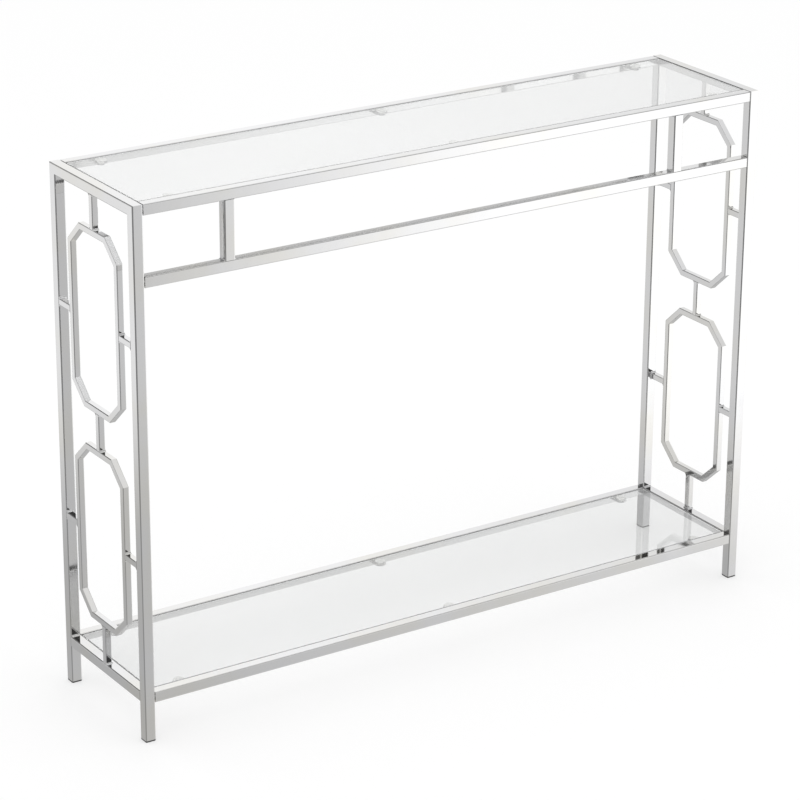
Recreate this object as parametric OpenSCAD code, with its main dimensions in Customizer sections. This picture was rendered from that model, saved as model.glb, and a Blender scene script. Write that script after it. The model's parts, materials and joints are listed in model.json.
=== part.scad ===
// Console table: two welded end frames with octagon fretwork, bolted-on long rails,
// an open front apron and two lift-in glass panels. Millimetres, +Z up, front towards -Y.
// Origin: centre of the footprint, on the floor.

/* [Overall size] */
// Length of the table, outside the end frames
table_w = 1066.8; // [900:0.1:1300]
// Depth of the table, front to back
table_d = 241.3; // [220:0.1:320]
// Height from the floor to the top of the frame
table_h = 800.1; // [790:0.1:900]

/* [Frame tube] */
// Size of the square tube
tube = 16; // [15:0.5:18]
// Wall thickness of the tube
tube_wall = 1.2; // [1:0.1:1.5]
// Outside corner radius of the tube
tube_r = 1.5; // [1.3:0.1:2]

/* [Fretwork] */
// Size of the square bar of the octagons, links and struts
fret_bar = 9.5; // [8:0.5:12]
// Corner radius of the square bar
fret_r = 1; // [0.5:0.1:1.5]
// Width of an octagon from front to back
octagon_w = 144; // [130:1:156]
// Height of an octagon
octagon_h = 272; // [220:1:274]
// Chamfer of an octagon along its width
chamfer_w = 34; // [25:1:45]
// Chamfer of an octagon along its height
chamfer_h = 31; // [20:1:45]
// Gap between the two octagons of an end frame
octagon_gap = 55; // [45:1:65]
// Height of the lower octagon above the bottom cross rail
octagon_lift = 59; // [45:1:70]

/* [Rails] */
// Height of the top of the shelf rails
shelf_top = 76; // [60:1:84]
// Height of the top of the apron rail
apron_top = 697.5; // [690:0.5:730]
// Distance from an end frame's inner face to the apron post's centre
apron_inset = 133.4; // [60:0.1:220]
// Gap between a post and the end of a rail
rail_gap = 1; // [0.6:0.1:1.5]
// Thickness of the plate that closes a rail's end
end_plate = 3; // [2:0.5:4]

/* [Glass] */
// Thickness of the tempered glass panels
glass_t = 5; // [4:0.5:6]
// Clearance between a panel's edge and the frame
glass_gap = 1.5; // [1:0.5:3]
// How far a panel's face lies below the top of its rails
glass_recess = 0.5; // [0:0.1:1]
// Corner radius of a panel
glass_corner_r = 3; // [2:0.5:6]
// Distance from an end frame's inner face to the outer supports' centres
support_inset = 52.4; // [30:0.1:120]

/* [Hidden] */
$fn = 32;
half_w = table_w / 2;
half_d = table_d / 2;
inner_w = half_w - tube;
inner_d = half_d - tube;
post_x = half_w - tube / 2;
post_y = half_d - tube / 2;
hollow = tube - 2 * tube_wall;

// octagons and links, from the bottom up
octagon_bottom = shelf_top + octagon_lift;
octagon_gap_bottom = octagon_bottom + octagon_h;
octagon_gap_top = octagon_gap_bottom + octagon_gap;
octagon_top = octagon_gap_top + octagon_h;
lower_centre = octagon_bottom + octagon_h / 2;
upper_centre = octagon_gap_top + octagon_h / 2;

// rails along the length
top_z = table_h - tube / 2;
apron_z = apron_top - tube / 2;
shelf_z = shelf_top - tube / 2;
rail_end = inner_w - rail_gap;
tube_end = rail_end - end_plate;
apron_post_x = inner_w - apron_inset;

// feet
pad_t = 2.5;
stem_h = 14;
stem_play = 0.2;

// rail joints: a bolt through the end plate into a rivet nut in the post
bolt_r = 3;
bolt_hole_r = 3.3;
bolt_head_r = 5;
bolt_head_h = 4;
bolt_reach = 10;
hex_key_r = 2.3;
washer_r = 6;
washer_t = 1.2;
nut_r = 4.4;
nut_bore_r = 3.05;
nut_flange_r = 6.5;
nut_length = 11;
nut_hole_r = 4.5;
washer_z = -rail_gap - end_plate - washer_t;

// key slot in the underside of a rail near each end
slot_w = 9;
slot_l = 32;
slot_r = 4;
slot_inset = 12;

// glass supports: a steel tab with a clear suction bumper
tab_t = 2;
tab_w = 18;
bumper_inset = 9;
bumper_r = 8;
bumper_h = 4;
bumper_rim_h = 1.2;
bumper_stem_r = 2.4;
bumper_bulb_r = 3.4;
bumper_bulb_h = 2.5;
tab_hole_r = 2.5;
bumper_y = inner_d - bumper_inset;
support_xs = [support_inset - inner_w, 0, inner_w - support_inset];

// each corner of a fret bar is three flats, so that the mitres close exactly
fret_corner_fn = 12;

// extra length of cutting shapes
overcut = 1;

// ---------- profiles and shared shapes ----------

// rectangle with round corners, centred
module rounded_rect(a, b, r) {
    square([a - 2 * r, b], center = true);
    square([a, b - 2 * r], center = true);
    for (sx = [-1, 1], sy = [-1, 1])
        translate([sx * (a / 2 - r), sy * (b / 2 - r)]) circle(r);
}

// section of the hollow frame tube
module tube_section() {
    difference() {
        rounded_rect(tube, tube, tube_r);
        square(hollow, center = true);
    }
}

// outline given in the side view (Y, Z), extruded along X
module side_prism(points, x0, x1) {
    translate([x0, 0, 0]) rotate([90, 0, 90]) linear_extrude(x1 - x0) polygon(points);
}

// cylinder along X
module x_cylinder(r, x0, x1, y, z) {
    translate([x0, y, z]) rotate([0, 90, 0]) cylinder(r = r, h = x1 - x0);
}

// ends of the long rails on one side: [front or rear sign, height]
rail_rows = [[-1, top_z], [-1, apron_z], [-1, shelf_z], [1, top_z], [1, shelf_z]];

// holes for the rivet nuts, through the inner wall of one end frame's posts
module nut_holes(side) {
    for (row = rail_rows) {
        x_in = side * inner_w - overcut - tube_wall;
        x_cylinder(nut_hole_r, x_in, x_in + 2 * (overcut + tube_wall), row[0] * post_y, row[1]);
    }
}

// ---------- end frames ----------

// an upright, open at the foot and mitred under the top cross rail
module post(side, face) {
    difference() {
        intersection() {
            translate([side * post_x, face * post_y, pad_t])
                linear_extrude(table_h - pad_t) tube_section();
            side_prism([
                [face * (half_d + overcut), 0],
                [face * (half_d + overcut), table_h + overcut],
                [face * (inner_d - overcut), table_h - tube - overcut],
                [face * (inner_d - overcut), 0]
            ], side * post_x - tube, side * post_x + tube);
        }
        nut_holes(side);
    }
}

// the top of an end frame, mitred into both posts
module top_cross_rail(side) {
    difference() {
        intersection() {
            translate([side * post_x, -half_d, top_z]) rotate([-90, 0, 0])
                linear_extrude(table_d) tube_section();
            side_prism([
                [-half_d - overcut, table_h + overcut],
                [half_d + overcut, table_h + overcut],
                [inner_d - overcut, table_h - tube - overcut],
                [-inner_d + overcut, table_h - tube - overcut]
            ], side * post_x - tube, side * post_x + tube);
        }
        nut_holes(side);
    }
}

// the rail between the posts at shelf height
module bottom_cross_rail(side) {
    translate([side * post_x, -inner_d, shelf_z]) rotate([-90, 0, 0])
        linear_extrude(2 * inner_d) tube_section();
}

// ---------- fretwork ----------

// left face of the fretwork, which is flush with the outside of the end frame
function fret_x(side) = side > 0 ? half_w - fret_bar : -half_w;

// The chamfer edge of one quarter is the line chamfer_h * y + chamfer_w * z = chamfer_line(inset).
function chamfer_len() = sqrt(chamfer_w * chamfer_w + chamfer_h * chamfer_h);
function chamfer_line(inset) =
    chamfer_h * (octagon_w / 2 - chamfer_w) + chamfer_w * octagon_h / 2 - inset * chamfer_len();

// where that line meets the octagon's top and its side
function quarter_top(inset) =
    let (z = octagon_h / 2 - inset) [(chamfer_line(inset) - chamfer_w * z) / chamfer_h, z];
function quarter_side(inset) =
    let (y = octagon_w / 2 - inset) [y, (chamfer_line(inset) - chamfer_h * y) / chamfer_w];

// the eight corners of the octagon, pulled in by inset, clockwise from the top
function octagon_points(inset) =
    let (t = quarter_top(inset), s = quarter_side(inset)) [
        [t[0], t[1]], [s[0], s[1]], [s[0], -s[1]], [t[0], -t[1]],
        [-t[0], -t[1]], [-s[0], -s[1]], [-s[0], s[1]], [-t[0], t[1]]
    ];

// square bar from a to b in the side view, its left face at x0
module fret_bar_between(x0, a, b) {
    run = b - a;
    translate([x0 + fret_bar / 2, a[0], a[1]])
        rotate([atan2(-run[0], run[1]), 0, 0])
            linear_extrude(norm(run)) rounded_rect(fret_bar, fret_bar, fret_r, $fn = fret_corner_fn);
}

// eight mitred lengths of bar welded into a ring
module octagon_ring(side, centre) {
    x0 = fret_x(side);
    outer = octagon_points(-overcut);
    inner = octagon_points(fret_bar + overcut);
    middle = octagon_points(fret_bar / 2);
    translate([0, 0, centre])
        for (i = [0:7]) {
            j = (i + 1) % 8;
            along = (middle[j] - middle[i]) / norm(middle[j] - middle[i]) * fret_bar;
            intersection() {
                fret_bar_between(x0, middle[i] - along, middle[j] + along);
                side_prism([outer[i], outer[j], inner[j], inner[i]],
                    x0 - overcut, x0 + fret_bar + overcut);
            }
        }
}

// short upright bar on the frame's centre line
module link(side, z0, z1) {
    fret_bar_between(fret_x(side), [0, z0], [0, z1]);
}

// four short bars from the posts to the sides of the octagons
module fret_struts(side) {
    for (face = [-1, 1], z = [upper_centre, lower_centre])
        fret_bar_between(fret_x(side), [face * octagon_w / 2, z], [face * inner_d, z]);
}

// ---------- long rails ----------

// hollow rail along X with a key slot in its underside near each end
module long_rail(face, z) {
    difference() {
        translate([-tube_end, face * post_y, z]) rotate([0, 90, 0])
            linear_extrude(2 * tube_end) tube_section();
        for (s = [-1, 1])
            translate([s * (tube_end - slot_inset - slot_l / 2), face * post_y, z - tube / 2])
                linear_extrude(2 * tube_wall + overcut, center = true)
                    rounded_rect(slot_l, slot_w, slot_r);
    }
}

// plates that close the rails' ends, each with a bolt hole
module end_plates() {
    for (side = [-1, 1], row = rail_rows)
        difference() {
            translate([side * (rail_end - end_plate / 2), row[0] * post_y, row[1]])
                rotate([0, 90, 0]) linear_extrude(end_plate, center = true)
                    rounded_rect(tube, tube, tube_r);
            x_cylinder(bolt_hole_r, side * rail_end - 2 * end_plate,
                side * rail_end + 2 * end_plate, row[0] * post_y, row[1]);
        }
}

// short upright between the top rail and the apron rail
module apron_post(side) {
    translate([side * apron_post_x, -post_y, apron_top])
        linear_extrude(table_h - tube - apron_top) tube_section();
}

// ---------- rail joints ----------

// places a fastener at every rail end, +Z pointing from the rail into the post
module at_rail_ends() {
    for (side = [-1, 1], row = rail_rows)
        translate([side * inner_w, row[0] * post_y, row[1]])
            rotate([0, side * 90, 0]) children();
}

// threaded sleeve with a flange that keeps the rail off the post
module rivet_nut() {
    rotate_extrude()
        polygon([
            [nut_bore_r, -rail_gap], [nut_flange_r, -rail_gap], [nut_flange_r, 0],
            [nut_r, 0], [nut_r, nut_length], [nut_bore_r, nut_length]
        ]);
}

module joint_washer() {
    translate([0, 0, washer_z])
        difference() {
            cylinder(r = washer_r, h = washer_t);
            translate([0, 0, -overcut]) cylinder(r = bolt_hole_r, h = washer_t + 2 * overcut);
        }
}

// socket-head bolt
module joint_bolt() {
    difference() {
        union() {
            translate([0, 0, washer_z]) cylinder(r = bolt_r, h = bolt_reach - washer_z);
            translate([0, 0, washer_z - bolt_head_h]) cylinder(r = bolt_head_r, h = bolt_head_h);
        }
        translate([0, 0, washer_z - bolt_head_h - overcut])
            cylinder(r = hex_key_r, h = bolt_head_h / 2 + overcut, $fn = 6);
    }
}

// ---------- feet ----------

// plastic glide with a stem that fills the end of the post
module foot(side, face) {
    translate([side * post_x, face * post_y, 0]) {
        linear_extrude(pad_t) rounded_rect(tube, tube, tube_r);
        translate([0, 0, pad_t])
            linear_extrude(stem_h)
                square(hollow - 2 * stem_play, center = true);
    }
}

// ---------- glass ----------

module glass_panel(rail_top) {
    translate([0, 0, rail_top - glass_recess - glass_t])
        linear_extrude(glass_t)
            rounded_rect(2 * (inner_w - glass_gap), 2 * (inner_d - glass_gap), glass_corner_r);
}

// steel tabs welded to the inner faces of the rails
module glass_tabs(rail_top) {
    z = rail_top - glass_recess - glass_t - bumper_h - tab_t;
    for (x = support_xs, face = [-1, 1])
        difference() {
            translate([x, 0, z]) linear_extrude(tab_t) {
                translate([-tab_w / 2, face > 0 ? bumper_y : -inner_d])
                    square([tab_w, inner_d - bumper_y]);
                translate([0, face * bumper_y]) circle(tab_w / 2);
            }
            translate([x, face * bumper_y, z - overcut]) cylinder(r = tab_hole_r, h = tab_t + 2 * overcut);
        }
}

// clear suction bumpers pushed through the tabs
module glass_bumpers(rail_top) {
    z = rail_top - glass_recess - glass_t - bumper_h;
    for (x = support_xs, face = [-1, 1])
        translate([x, face * bumper_y, z])
            rotate_extrude()
                polygon([
                    [0, -tab_t - bumper_bulb_h], [bumper_stem_r, -tab_t - bumper_bulb_h],
                    [bumper_bulb_r, -tab_t - bumper_bulb_h / 2], [bumper_bulb_r, -tab_t],
                    [bumper_stem_r, -tab_t], [bumper_stem_r, 0], [bumper_r / 2, 0],
                    [bumper_r, bumper_h - bumper_rim_h], [bumper_r, bumper_h], [0, bumper_h]
                ]);
}

// ---------- one module per node ----------

chrome = [0.86, 0.87, 0.88];
steel = [0.66, 0.67, 0.68];
glass_tint = [0.86, 0.94, 0.92, 0.45];
clear_plastic = [0.93, 0.93, 0.9, 0.7];
black_plastic = [0.07, 0.07, 0.07];

module left_front_post() { color(chrome) post(-1, -1); }
module left_rear_post() { color(chrome) post(-1, 1); }
module left_top_cross_rail() { color(chrome) top_cross_rail(-1); }
module left_bottom_cross_rail() { color(chrome) bottom_cross_rail(-1); }
module left_upper_octagon() { color(chrome) octagon_ring(-1, upper_centre); }
module left_lower_octagon() { color(chrome) octagon_ring(-1, lower_centre); }
module left_top_link() { color(chrome) link(-1, octagon_top, table_h - tube); }
module left_middle_link() { color(chrome) link(-1, octagon_gap_bottom, octagon_gap_top); }
module left_bottom_link() { color(chrome) link(-1, shelf_top, octagon_bottom); }
module left_fret_struts() { color(chrome) fret_struts(-1); }

module right_front_post() { color(chrome) post(1, -1); }
module right_rear_post() { color(chrome) post(1, 1); }
module right_top_cross_rail() { color(chrome) top_cross_rail(1); }
module right_bottom_cross_rail() { color(chrome) bottom_cross_rail(1); }
module right_upper_octagon() { color(chrome) octagon_ring(1, upper_centre); }
module right_lower_octagon() { color(chrome) octagon_ring(1, lower_centre); }
module right_top_link() { color(chrome) link(1, octagon_top, table_h - tube); }
module right_middle_link() { color(chrome) link(1, octagon_gap_bottom, octagon_gap_top); }
module right_bottom_link() { color(chrome) link(1, shelf_top, octagon_bottom); }
module right_fret_struts() { color(chrome) fret_struts(1); }

module front_top_rail() { color(chrome) long_rail(-1, top_z); }
module front_apron_rail() { color(chrome) long_rail(-1, apron_z); }
module left_apron_post() { color(chrome) apron_post(-1); }
module right_apron_post() { color(chrome) apron_post(1); }
module rear_top_rail() { color(chrome) long_rail(1, top_z); }
module front_shelf_rail() { color(chrome) long_rail(-1, shelf_z); }
module rear_shelf_rail() { color(chrome) long_rail(1, shelf_z); }
module rail_end_plates() { color(chrome) end_plates(); }

module rivet_nuts() { color(steel) at_rail_ends() rivet_nut(); }
module joint_washers() { color(steel) at_rail_ends() joint_washer(); }
module joint_bolts() { color(steel) at_rail_ends() joint_bolt(); }

module left_front_foot() { color(black_plastic) foot(-1, -1); }
module left_rear_foot() { color(black_plastic) foot(-1, 1); }
module right_front_foot() { color(black_plastic) foot(1, -1); }
module right_rear_foot() { color(black_plastic) foot(1, 1); }

module top_glass() { color(glass_tint) glass_panel(table_h); }
module shelf_glass() { color(glass_tint) glass_panel(shelf_top); }
module top_glass_tabs() { color(chrome) glass_tabs(table_h); }
module shelf_glass_tabs() { color(chrome) glass_tabs(shelf_top); }
module top_glass_bumpers() { color(clear_plastic) glass_bumpers(table_h); }
module shelf_glass_bumpers() { color(clear_plastic) glass_bumpers(shelf_top); }

left_front_post();
left_rear_post();
left_top_cross_rail();
left_bottom_cross_rail();
left_upper_octagon();
left_lower_octagon();
left_top_link();
left_middle_link();
left_bottom_link();
left_fret_struts();
right_front_post();
right_rear_post();
right_top_cross_rail();
right_bottom_cross_rail();
right_upper_octagon();
right_lower_octagon();
right_top_link();
right_middle_link();
right_bottom_link();
right_fret_struts();
front_top_rail();
front_apron_rail();
left_apron_post();
right_apron_post();
rear_top_rail();
front_shelf_rail();
rear_shelf_rail();
rail_end_plates();
rivet_nuts();
joint_washers();
joint_bolts();
left_front_foot();
left_rear_foot();
right_front_foot();
right_rear_foot();
top_glass();
shelf_glass();
top_glass_tabs();
shelf_glass_tabs();
top_glass_bumpers();
shelf_glass_bumpers();
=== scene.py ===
"""Console table: chrome frame with octagon fretwork, clear glass top and shelf."""
import json
import math

import bmesh
import bpy
from mathutils import Euler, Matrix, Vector


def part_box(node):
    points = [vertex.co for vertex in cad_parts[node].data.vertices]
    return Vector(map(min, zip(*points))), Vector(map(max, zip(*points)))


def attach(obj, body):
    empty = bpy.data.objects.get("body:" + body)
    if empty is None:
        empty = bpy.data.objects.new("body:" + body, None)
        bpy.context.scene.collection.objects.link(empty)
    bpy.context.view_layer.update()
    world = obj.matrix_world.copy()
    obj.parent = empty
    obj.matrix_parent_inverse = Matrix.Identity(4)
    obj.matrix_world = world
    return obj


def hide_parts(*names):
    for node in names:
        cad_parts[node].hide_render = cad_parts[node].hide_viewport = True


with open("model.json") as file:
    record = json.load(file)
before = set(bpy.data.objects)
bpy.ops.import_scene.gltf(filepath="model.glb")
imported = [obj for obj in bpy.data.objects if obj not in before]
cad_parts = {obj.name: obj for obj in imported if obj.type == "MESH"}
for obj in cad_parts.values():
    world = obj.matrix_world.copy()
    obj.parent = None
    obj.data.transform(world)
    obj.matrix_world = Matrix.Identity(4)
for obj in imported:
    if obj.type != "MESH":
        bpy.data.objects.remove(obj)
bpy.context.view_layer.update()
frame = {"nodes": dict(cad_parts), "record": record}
NODES = frame["nodes"]
ROOT = "root"
MM = 0.001
X, Y, Z = Vector((1, 0, 0)), Vector((0, 1, 0)), Vector((0, 0, 1))

# ---------------------------------------------------------------- node helpers


def new_material(name):
    """A material whose tree holds only a Principled shader and the output."""
    material = bpy.data.materials.new(name)
    material.use_nodes = True
    tree = material.node_tree
    shader = next(n for n in tree.nodes if n.type == "BSDF_PRINCIPLED")
    return material, tree, shader


def add(tree, kind, **values):
    """A new node; keyword values are its own properties."""
    node = tree.nodes.new(kind)
    for key, value in values.items():
        setattr(node, key, value)
    return node


def noise(tree, vector, scale, detail=3.0, roughness=0.5):
    """A noise value; scale is about the number of blobs in a metre."""
    node = add(tree, "ShaderNodeTexNoise")
    node.inputs["Scale"].default_value = scale
    node.inputs["Detail"].default_value = detail
    node.inputs["Roughness"].default_value = roughness
    tree.links.new(vector, node.inputs["Vector"])
    return node.outputs["Fac"]


def remap(tree, value, low, high, out_low, out_high, smooth=True):
    """Map value from low..high to out_low..out_high."""
    node = add(tree, "ShaderNodeMapRange")
    node.interpolation_type = "SMOOTHSTEP" if smooth else "LINEAR"
    names = ("From Min", "From Max", "To Min", "To Max")
    for name, number in zip(names, (low, high, out_low, out_high)):
        node.inputs[name].default_value = number
    tree.links.new(value, node.inputs["Value"])
    return node.outputs["Result"]


def math_node(tree, operation, a, b=None):
    """A math node on one or two values, each a number or a socket."""
    node = add(tree, "ShaderNodeMath", operation=operation)
    for socket, value in zip(node.inputs, (a, b)):
        if value is None:
            continue
        if isinstance(value, (int, float)):
            socket.default_value = value
        else:
            tree.links.new(value, socket)
    return node.outputs["Value"]


def blend_values(tree, factor, a, b):
    """a where factor is 0, b where it is 1."""
    node = add(tree, "ShaderNodeMix", data_type="FLOAT")
    tree.links.new(factor, node.inputs["Factor"])
    for socket, value in zip((node.inputs["A"], node.inputs["B"]), (a, b)):
        if isinstance(value, (int, float)):
            socket.default_value = value
        else:
            tree.links.new(value, socket)
    return node.outputs["Result"]


def blend_colors(tree, factor, a, b):
    """Colour a where factor is 0, b where it is 1."""
    node = add(tree, "ShaderNodeMix", data_type="RGBA")
    tree.links.new(factor, node.inputs["Factor"])
    # a mix node has its colour sockets at these places
    node.inputs[6].default_value = a
    node.inputs[7].default_value = b
    return node.outputs[2]


def bump(tree, shader, height, strength, distance):
    """Roughen the shader's normal by a height value."""
    node = add(tree, "ShaderNodeBump")
    node.inputs["Strength"].default_value = strength
    node.inputs["Distance"].default_value = distance
    tree.links.new(height, node.inputs["Height"])
    tree.links.new(node.outputs["Normal"], shader.inputs["Normal"])


def ramp(tree, value, stops, scale):
    """Grey levels along value; stops are (place 0..1, level)."""
    node = add(tree, "ShaderNodeValToRGB")
    elements = node.color_ramp.elements
    while len(elements) < len(stops):
        elements.new(0.5)
    for element, (place, level) in zip(elements, stops):
        element.position = place
        element.color = (level / scale, level / scale, level / scale, 1)
    tree.links.new(value, node.inputs["Fac"])
    return math_node(tree, "MULTIPLY", node.outputs["Color"], scale)


def object_coords(tree):
    """Coordinates in metres that stay with the piece."""
    return add(tree, "ShaderNodeTexCoord").outputs["Object"]


def spread(tree, value, low, high):
    """Spread a noise value, which is mostly between 0.3 and 0.7, over low..high."""
    return remap(tree, value, 0.3, 0.7, low, high)


# ---------------------------------------------------------------- materials


# each pair is where the material's noise is low and where it is high
CHROME_COLORS = (0.82, 0.82, 0.826, 1), (0.815, 0.805, 0.775, 1)
GLASS_COLORS = (0.856, 0.861, 0.86, 1), (0.876, 0.88, 0.879, 1)
PLASTIC_COLORS = (0.018, 0.018, 0.019, 1), (0.035, 0.034, 0.033, 1)
VINYL_COLORS = (0.86, 0.86, 0.83, 1), (0.93, 0.93, 0.91, 1)
ZINC_COLORS = (0.5, 0.5, 0.51, 1), (0.68, 0.68, 0.66, 1)
# what goes through; the rest of the glass is a thin white film, and the rest of the vinyl its cloud
GLASS_CLARITY, VINYL_CLARITY = 0.86, 0.5
GLASS_IOR, VINYL_IOR = 1.5, 1.3


def chrome_material():
    """Polished plate with faint warm patches, smudges and the ripple of drawn tube."""
    material, tree, shader = new_material("chrome")
    coords = object_coords(tree)
    haze = noise(tree, coords, 9.0, 4.0)
    color = blend_colors(tree, remap(tree, haze, 0.4, 0.7, 0.0, 1.0), *CHROME_COLORS)
    tree.links.new(color, shader.inputs["Base Color"])
    shader.inputs["Metallic"].default_value = 1.0
    fine = noise(tree, coords, 420.0, 2.0)
    smudge = noise(tree, coords, 16.0, 5.0, 0.6)
    smears = remap(tree, smudge, 0.45, 0.7, 0.035, 0.085)
    grit = spread(tree, fine, 0.0, 0.015)
    tree.links.new(math_node(tree, "ADD", smears, grit), shader.inputs["Roughness"])
    ripple = noise(tree, coords, 55.0, 2.0)
    bump(tree, shader, ripple, 0.04, 0.0004)
    return material


def glass_material():
    """Clear glass, faintly tinted, with a few hazy patches."""
    material, tree, shader = new_material("clear_glass")
    coords = object_coords(tree)
    tint = blend_colors(tree, spread(tree, noise(tree, coords, 3.0), 0.0, 1.0), *GLASS_COLORS)
    tree.links.new(tint, shader.inputs["Base Color"])
    shader.inputs["Transmission Weight"].default_value = GLASS_CLARITY
    shader.inputs["IOR"].default_value = GLASS_IOR
    haze = noise(tree, coords, 14.0, 5.0, 0.6)
    tree.links.new(remap(tree, haze, 0.5, 0.8, 0.0, 0.02), shader.inputs["Roughness"])
    return material


def black_plastic_material():
    """Moulded plastic with a fine matt grain."""
    material, tree, shader = new_material("black_plastic")
    coords = object_coords(tree)
    grain = noise(tree, coords, 900.0, 3.0)
    tree.links.new(blend_colors(tree, grain, *PLASTIC_COLORS), shader.inputs["Base Color"])
    tree.links.new(spread(tree, grain, 0.42, 0.58), shader.inputs["Roughness"])
    bump(tree, shader, grain, 0.25, 0.0002)
    return material


def clear_vinyl_material():
    """Soft cloudy vinyl."""
    material, tree, shader = new_material("clear_vinyl")
    coords = object_coords(tree)
    cloud = noise(tree, coords, 260.0, 3.0)
    tree.links.new(blend_colors(tree, cloud, *VINYL_COLORS), shader.inputs["Base Color"])
    shader.inputs["Transmission Weight"].default_value = VINYL_CLARITY
    shader.inputs["IOR"].default_value = VINYL_IOR
    tree.links.new(spread(tree, cloud, 0.12, 0.3), shader.inputs["Roughness"])
    bump(tree, shader, cloud, 0.15, 0.0003)
    return material


def zinc_material():
    """Zinc-plated hardware with a spangle."""
    material, tree, shader = new_material("zinc_steel")
    coords = object_coords(tree)
    spangle = noise(tree, coords, 180.0, 4.0)
    tree.links.new(blend_colors(tree, spangle, *ZINC_COLORS), shader.inputs["Base Color"])
    shader.inputs["Metallic"].default_value = 1.0
    tree.links.new(spread(tree, spangle, 0.25, 0.45), shader.inputs["Roughness"])
    bump(tree, shader, spangle, 0.2, 0.0002)
    return material


MATERIALS = {
    "chrome_frame": chrome_material(),
    "clear_glass": glass_material(),
    "black_plastic": black_plastic_material(),
    "clear_bumper": clear_vinyl_material(),
    "zinc_steel": zinc_material(),
}


def dress_cad_nodes():
    """Give every CAD node the material of its slot."""
    for row in frame["record"]["subparts"]:
        node = NODES[row["node"]]
        node.data.materials.clear()
        node.data.materials.append(MATERIALS[row["material_slot"]])


dress_cad_nodes()

# ---------------------------------------------------------------- pieces


def rounded_loop(center, width, depth, radius, z, steps=5):
    """Points round a rounded rectangle, anticlockwise."""
    points = []
    for sx, sy, start in ((1, 1, 0), (-1, 1, 90), (-1, -1, 180), (1, -1, 270)):
        for step in range(steps + 1):
            angle = math.radians(start + 90 * step / steps)
            x = center[0] + sx * (width / 2 - radius) + radius * math.cos(angle)
            y = center[1] + sy * (depth / 2 - radius) + radius * math.sin(angle)
            points.append(Vector((x, y, z)))
    return points


def loft(bm, loops):
    """A closed skin through loops of equal length, listed upwards and capped at both ends."""
    rings = [[bm.verts.new(p) for p in loop] for loop in loops]
    count = len(rings[0])
    for low, high in zip(rings, rings[1:]):
        for i in range(count):
            j = (i + 1) % count
            bm.faces.new((low[i], low[j], high[j], high[i]))
    bm.faces.new(list(reversed(rings[0])))
    bm.faces.new(rings[-1])


def lathe(bm, center, profile, steps=40):
    """A closed turned solid about a vertical axis, from rows of (radius, height), bottom first."""
    x, y, z = center
    loops = []
    for radius, height in profile:
        loops.append(
            [
                Vector((x + radius * math.cos(a), y + radius * math.sin(a), z + height))
                for a in (2 * math.pi * i / steps for i in range(steps))
            ]
        )
    loft(bm, loops)


def weld_strip(bm, corner, along, u, v, length, size, steps=7):
    """A concave fillet in the corner of two faces; u and v lie in them and point away from it."""
    corner, along, u, v = (Vector(p) for p in (corner, along, u, v))
    sunk = 0.15 * MM
    section = [(-sunk, -sunk), (size, -sunk)]
    for step in range(steps + 1):
        angle = math.pi / 2 * step / steps
        section.append((size * (1 - math.sin(angle)), size * (1 - math.cos(angle))))
    section.append((-sunk, size))
    ends = []
    for side in (-1, 1):
        base = corner + along * side * length / 2
        ends.append([bm.verts.new(base + u * a + v * b) for a, b in section])
    if along.dot(u.cross(v)) < 0:
        ends.reverse()
    first, last = ends
    count = len(section)
    for i in range(count):
        j = (i + 1) % count
        bm.faces.new((first[i], first[j], last[j], last[i]))
    bm.faces.new(list(reversed(first)))
    bm.faces.new(last)


def finish_piece(bm, name, slot, *replaced):
    """Make the mesh an object on the root body, smooth where it is round."""
    sharp = math.radians(32)
    bmesh.ops.recalc_face_normals(bm, faces=bm.faces)
    for edge in bm.edges:
        if edge.is_manifold and edge.calc_face_angle() > sharp:
            edge.smooth = False
    for face in bm.faces:
        face.smooth = True
    mesh = bpy.data.meshes.new(name)
    bm.to_mesh(mesh)
    bm.free()
    piece = bpy.data.objects.new(name, mesh)
    bpy.context.collection.objects.link(piece)
    mesh.materials.append(MATERIALS[slot])
    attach(piece, ROOT)
    if replaced:
        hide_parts(*replaced)
    return piece


def glass_panel(node):
    """A float glass panel with ground and polished edges."""
    low, high = (Vector(c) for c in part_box(node))
    size = high - low
    center = (low + high) / 2
    arris, corner = 0.7 * MM, 3 * MM
    levels = ((arris, low.z), (0, low.z + arris), (0, high.z - arris), (arris, high.z))
    bm = bmesh.new()
    loft(
        bm,
        [
            rounded_loop(center, size.x - 2 * inset, size.y - 2 * inset, corner - inset, z)
            for inset, z in levels
        ],
    )
    panel = finish_piece(bm, node + "_panel", "clear_glass", node)
    # clear pieces don't grey the floor under them
    panel.visible_shadow = False
    panel.visible_diffuse = False


# radius and height in mm: a bulb under the tab, a stem through it, a foot on it, and a cup whose
# hollow faces the glass
BUMPER_PROFILE = [
    (1.6, 0.0),
    (2.8, 0.25),
    (3.35, 0.8),
    (3.4, 1.4),
    (3.1, 2.1),
    (2.4, 2.46),
    (2.4, 4.54),
    (4.4, 4.54),
    (4.9, 4.9),
    (4.7, 5.5),
    (5.1, 6.1),
    (6.3, 6.8),
    (7.5, 7.4),
    (8.0, 7.9),
    (8.0, 8.25),
    (7.75, 8.45),
    (7.2, 8.3),
    (5.0, 7.8),
    (2.0, 7.5),
]


def glass_bumpers(node):
    """Six soft suction bumpers pushed through the support tabs."""
    low, high = (Vector(c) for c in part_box(node))
    radius = max(r for r, z in BUMPER_PROFILE) * MM
    profile = [(r * MM, z * MM) for r, z in BUMPER_PROFILE]
    bm = bmesh.new()
    for x in (low.x + radius, (low.x + high.x) / 2, high.x - radius):
        for y in (low.y + radius, high.y - radius):
            lathe(bm, (x, y, low.z), profile)
    discs = finish_piece(bm, node + "_discs", "clear_bumper", node)
    discs.visible_shadow = False
    discs.visible_diffuse = False


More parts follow.
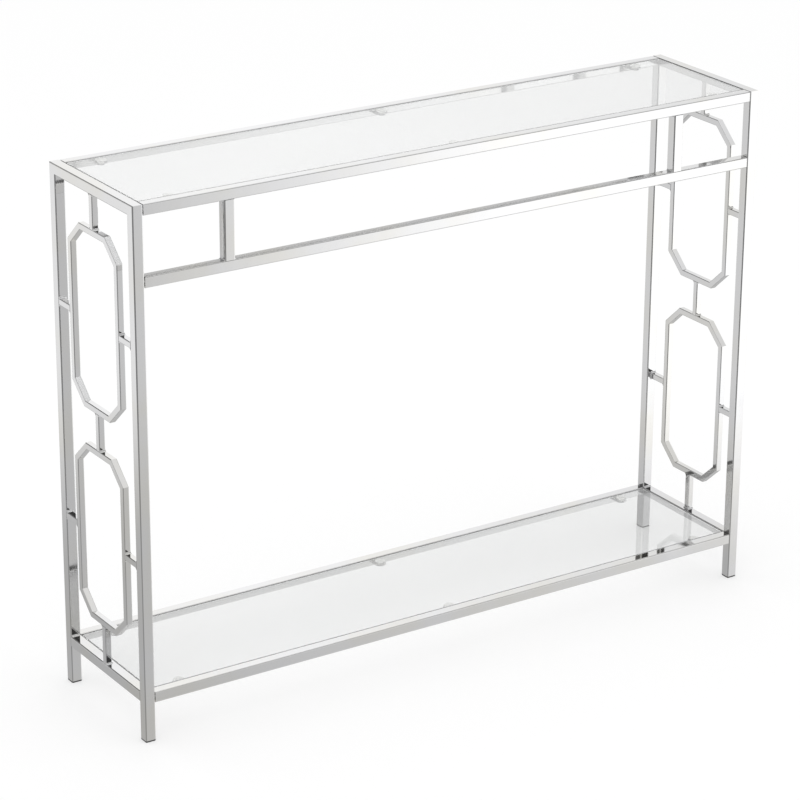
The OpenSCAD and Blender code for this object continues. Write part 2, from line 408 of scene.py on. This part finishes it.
# the glide's pad, as (inset from the tube's face, height) in mm
PAD_LEVELS = [(1.0, 0.0), (0.3, 0.35), (0.0, 1.0), (0.0, 2.1), (0.25, 2.5), (1.6, 2.5)]
PAD_TOP = 2.5
PAD_CORNER, PLUG_CORNER = 1.5 * MM, 0.8 * MM
RIB_INSET, GROOVE_INSET, TIP_INSET = 1.5, 1.9, 2.6
FIRST_RIB, RIB_PITCH, RIB_COUNT, RIB_WIDTH, RIB_SLOPE, TIP_LENGTH = 4.0, 3.0, 4, 1.0, 0.6, 0.8


def foot(node):
    """A moulded glide: a soft-edged pad under the tube and a ribbed plug up inside it."""
    low, high = (Vector(c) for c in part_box(node))
    size = high.x - low.x
    center = (low + high) / 2
    levels = list(PAD_LEVELS)
    for i in range(RIB_COUNT):
        start = FIRST_RIB + RIB_PITCH * i
        end = start + RIB_WIDTH
        levels += [(GROOVE_INSET, start - RIB_SLOPE), (RIB_INSET, start)]
        levels += [(RIB_INSET, end), (GROOVE_INSET, end + RIB_SLOPE)]
    plug_top = (high.z - low.z) / MM
    levels = [(inset, z) for inset, z in levels if z < plug_top - TIP_LENGTH]
    levels.append((TIP_INSET, plug_top))
    bm = bmesh.new()
    loops = []
    for inset, z in levels:
        side = size - 2 * inset * MM
        corner = PAD_CORNER if z <= PAD_TOP and inset < 1 else PLUG_CORNER
        loops.append(rounded_loop(center, side, side, corner, low.z + z * MM, 4))
    loft(bm, loops)
    finish_piece(bm, node + "_glide", "black_plastic", node)


WELD = 2.2 * MM
# width that a tube's two rounded corners take from its flat face
TUBE_ROUNDING = 3 * MM


def end_frame_welds(side):
    """Weld fillets where the fretwork and the lower cross rail meet their neighbours."""
    prefix = "left_" if side < 0 else "right_"
    bm = bmesh.new()
    box = {
        name: [Vector(c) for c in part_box(prefix + name)]
        for name in (
            "upper_octagon",
            "lower_octagon",
            "top_link",
            "middle_link",
            "bottom_link",
            "bottom_cross_rail",
            "front_post",
            "rear_post",
        )
    }
    bar_low, bar_high = (c.x for c in box["top_link"])
    bar_x, bar = (bar_low + bar_high) / 2, bar_high - bar_low
    inner_x = bar_high if side < 0 else bar_low
    inward = X * -side
    for link in ("top_link", "middle_link", "bottom_link"):
        low, high = box[link]
        for end_z, v in ((low.z, Z), (high.z, -Z)):
            for face_y, u in ((low.y, -Y), (high.y, Y)):
                weld_strip(bm, (bar_x, face_y, end_z), X, u, v, bar, WELD)
        on_rail = {"top_link": (high.z, -Z), "bottom_link": (low.z, Z)}.get(link)
        if on_rail:
            weld_strip(bm, (inner_x, 0, on_rail[0]), Y, inward, on_rail[1], bar, WELD)
    for octagon in ("upper_octagon", "lower_octagon"):
        low, high = box[octagon]
        strut_z = (low.z + high.z) / 2
        for direction in (-1, 1):
            ring_y = high.y if direction > 0 else low.y
            post_y = box["rear_post"][0].y if direction > 0 else box["front_post"][1].y
            for face_z, v in ((strut_z - bar / 2, -Z), (strut_z + bar / 2, Z)):
                weld_strip(bm, (bar_x, ring_y, face_z), X, Y * direction, v, bar, WELD)
                weld_strip(bm, (bar_x, post_y, face_z), X, Y * -direction, v, bar, WELD)
            weld_strip(bm, (inner_x, post_y, strut_z), Z, inward, Y * -direction, bar, WELD)
    low, high = box["bottom_cross_rail"]
    rail_x, flat = (low.x + high.x) / 2, high.x - low.x - TUBE_ROUNDING
    for face_z, v in ((low.z, -Z), (high.z, Z)):
        weld_strip(bm, (rail_x, box["front_post"][1].y, face_z), X, Y, v, flat, WELD)
        weld_strip(bm, (rail_x, box["rear_post"][0].y, face_z), X, -Y, v, flat, WELD)
    finish_piece(bm, prefix + "frame_welds", "chrome_frame")


def apron_welds():
    """Weld fillets at both ends of the two short apron posts."""
    bm = bmesh.new()
    for node in ("left_apron_post", "right_apron_post"):
        low, high = (Vector(c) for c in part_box(node))
        mid_y, flat = (low.y + high.y) / 2, high.y - low.y - TUBE_ROUNDING
        for end_z, v in ((low.z, Z), (high.z, -Z)):
            for face_x, u in ((low.x, -X), (high.x, X)):
                weld_strip(bm, (face_x, mid_y, end_z), Y, u, v, flat, WELD)
    finish_piece(bm, "apron_welds", "chrome_frame")


for panel in ("top_glass", "shelf_glass"):
    glass_panel(panel)
    glass_bumpers(panel + "_bumpers")
for corner_name in ("left_front", "left_rear", "right_front", "right_rear"):
    foot(corner_name + "_foot")
end_frame_welds(-1)
end_frame_welds(1)
apron_welds()

# ---------------------------------------------------------------- studio

# Light levels round the studio, as gloss reflects it. Each row is (heading, level). Headings are in
# degrees: 0 towards -Y (the front), 90 towards -X, 180 and -180 towards +Y. The dark stripes are
# the openings between the tent's panels, which polished faces and rounded edges pick up.
FLOOR_NEAR = [
    (-180, 0.5), (-110, 0.55), (-60, 0.78), (-39, 0.76), (-28, 0.56), (-14, 0.45), (0, 0.3),
    (100, 0.3), (127, 0.45), (151, 0.48), (180, 0.5),
]
FLOOR_FAR = [
    (-180, 0.6), (-150, 0.7), (-110, 1), (-60, 1.3), (-35, 1.25), (-27, 0.58), (-23, 0.5),
    (-19, 0.04), (-4, 0.04), (4, 0.25), (18, 0.3), (24, 0.22), (42, 0.22), (48, 0.45),
    (62, 0.45), (68, 0.04), (86, 0.04), (92, 0.3), (106, 0.3), (112, 0.03), (131, 0.03),
    (137, 0.7), (143, 0.74), (148, 0.9), (151, 0.9), (165, 0.85), (180, 0.6),
]
HORIZON = [
    (-180, 0.85), (-150, 0.9), (-100, 1), (-60, 1.3), (-34, 1.3), (-27, 0.8), (-14, 0.75),
    (100, 0.8), (130, 0.6), (137, 0.3), (156, 0.3), (163, 0.6), (180, 0.85),
]
LOW_WALLS = [
    (-180, 0.75), (-158, 0.95), (-150, 1.08), (-140, 0.86), (-100, 0.95), (-30, 0.8),
    (110, 0.7), (130, 0.6), (137, 0.5), (156, 0.5), (163, 0.6), (180, 0.75),
]
WALLS = [
    (-180, 0.6), (-158, 0.95), (-150, 1.08), (-140, 0.86), (-100, 0.95), (-52, 0.8),
    (-41, 0.05), (-23, 0.05), (-13, 0.7), (110, 0.6), (130, 0.6), (137, 0.12), (156, 0.12),
    (164, 0.6), (180, 0.6),
]
UPPER_WALLS = [
    (-180, 0.5), (-172, 0.5), (-166, 0.03), (-154, 0.03), (-145, 0.5), (-100, 0.6), (-50, 0.25),
    (20, 0.3), (80, 0.4), (130, 0.5), (150, 0.5), (162, 0.03), (174, 0.03), (180, 0.5),
]
CEILING = 0.86
# each band, and the degrees above the horizon between which it gives way to the next
BANDS = [
    (FLOOR_NEAR, (-24.5, -20.5)),
    (FLOOR_FAR, (-14, -12)),
    (HORIZON, (-5, 0)),
    (LOW_WALLS, (15.5, 17.5)),
    (WALLS, (27.5, 30.5)),
    (UPPER_WALLS, (42, 51)),
]
# no level is above this
BRIGHTEST = 1.4
# what everything that isn't glossy sees, from all round
EVEN_LIGHT = 1.03


def studio_world():
    """Even pale light, except that gloss reflects a tent with dark openings between its panels."""
    world = bpy.data.worlds.new("studio")
    bpy.context.scene.world = world
    world.use_nodes = True
    tree = world.node_tree
    background = next(n for n in tree.nodes if n.type == "BACKGROUND")
    direction = add(tree, "ShaderNodeTexCoord").outputs["Generated"]
    split = add(tree, "ShaderNodeSeparateXYZ")
    tree.links.new(direction, split.inputs[0])
    x, y, z = split.outputs
    to_left = math_node(tree, "MULTIPLY", x, -1.0)
    to_front = math_node(tree, "MULTIPLY", y, -1.0)
    heading = math_node(tree, "ARCTAN2", to_left, to_front)
    place = remap(tree, heading, -math.pi, math.pi, 0, 1, smooth=False)
    height = math_node(tree, "MULTIPLY", math_node(tree, "ARCSINE", z), math.degrees(1))
    levels = [
        ramp(tree, place, [((degrees + 180) / 360, level) for degrees, level in band], BRIGHTEST)
        for band, _ in BANDS
    ] + [CEILING]
    value = levels[0]
    for (_, (low, high)), level in zip(BANDS, levels[1:]):
        value = blend_values(tree, remap(tree, height, low, high, 0, 1), value, level)
    gloss = add(tree, "ShaderNodeLightPath").outputs["Is Glossy Ray"]
    strength = blend_values(tree, gloss, EVEN_LIGHT, value)
    tree.links.new(strength, background.inputs["Strength"])
    background.inputs["Color"].default_value = (1, 1, 1, 1)


FLOOR_SIZE = 40
FLOOR_GREY = 0.47
FLOOR_GLOW = 0.5
# the floor's level for chrome that sees it through glass, near to what it finds beside the glass
FLOOR_IN_CHROME = 0.58


def make_floor():
    """A wide pale floor, half lit and half glowing, so that its shadows are faint."""
    bpy.ops.mesh.primitive_plane_add(size=FLOOR_SIZE)
    floor = bpy.context.object
    floor.name = "floor"
    material, tree, shader = new_material("pale_floor")
    shader.inputs["Base Color"].default_value = (FLOOR_GREY, FLOOR_GREY, FLOOR_GREY, 1)
    shader.inputs["Roughness"].default_value = 0.9
    shader.inputs["Specular IOR Level"].default_value = 0.0
    shader.inputs["Emission Color"].default_value = (1, 1, 1, 1)
    shader.inputs["Emission Strength"].default_value = FLOOR_GLOW
    grey = add(tree, "ShaderNodeEmission")
    grey.inputs["Strength"].default_value = FLOOR_IN_CHROME
    mix = add(tree, "ShaderNodeMixShader")
    depth = add(tree, "ShaderNodeLightPath").outputs["Glossy Depth"]
    tree.links.new(math_node(tree, "GREATER_THAN", depth, 0.5), mix.inputs[0])
    tree.links.new(shader.outputs["BSDF"], mix.inputs[1])
    tree.links.new(grey.outputs["Emission"], mix.inputs[2])
    output = next(n for n in tree.nodes if n.type == "OUTPUT_MATERIAL")
    tree.links.new(mix.outputs["Shader"], output.inputs["Surface"])
    floor.data.materials.append(material)
    floor.visible_glossy = False


KEY_PLACE = (-0.3, -0.6, 3.6)
KEY_SIZE = 4.0
KEY_WATTS = 14.0


def make_key_light():
    """A large soft light overhead, turned to the origin."""
    data = bpy.data.lights.new("key", "AREA")
    data.shape = "SQUARE"
    data.size = KEY_SIZE
    data.energy = KEY_WATTS
    light = bpy.data.objects.new("key", data)
    light.location = KEY_PLACE
    light.rotation_euler = (-light.location.normalized()).to_track_quat("-Z", "Y").to_euler()
    light.visible_glossy = False
    bpy.context.collection.objects.link(light)


CAMERA_PLACE = (-2.4335, -3.6851, 2.1034)
# in degrees: tilt above level, roll, and turn from facing +Y
CAMERA_PITCH, CAMERA_ROLL, CAMERA_YAW = -21.404, -0.34, -33.14
LENS_MM, SENSOR_MM = 142.95, 36
FAR_CLIP = 200


def make_camera():
    """The photograph's viewing angle, with no shift."""
    data = bpy.data.cameras.new("camera")
    data.sensor_width = SENSOR_MM
    data.lens = LENS_MM
    data.clip_end = FAR_CLIP
    camera = bpy.data.objects.new("camera", data)
    camera.location = CAMERA_PLACE
    pitch, roll, yaw = (math.radians(a) for a in (CAMERA_PITCH, CAMERA_ROLL, CAMERA_YAW))
    aim = Euler((math.pi / 2 + pitch, 0, yaw), "XYZ").to_matrix()
    turn = Euler((0, 0, -roll), "XYZ").to_matrix()
    camera.rotation_euler = (aim @ turn).to_euler()
    bpy.context.collection.objects.link(camera)
    bpy.context.scene.camera = camera


studio_world()
make_floor()
make_key_light()
make_camera()
bpy.context.scene.view_settings.view_transform = "Standard"
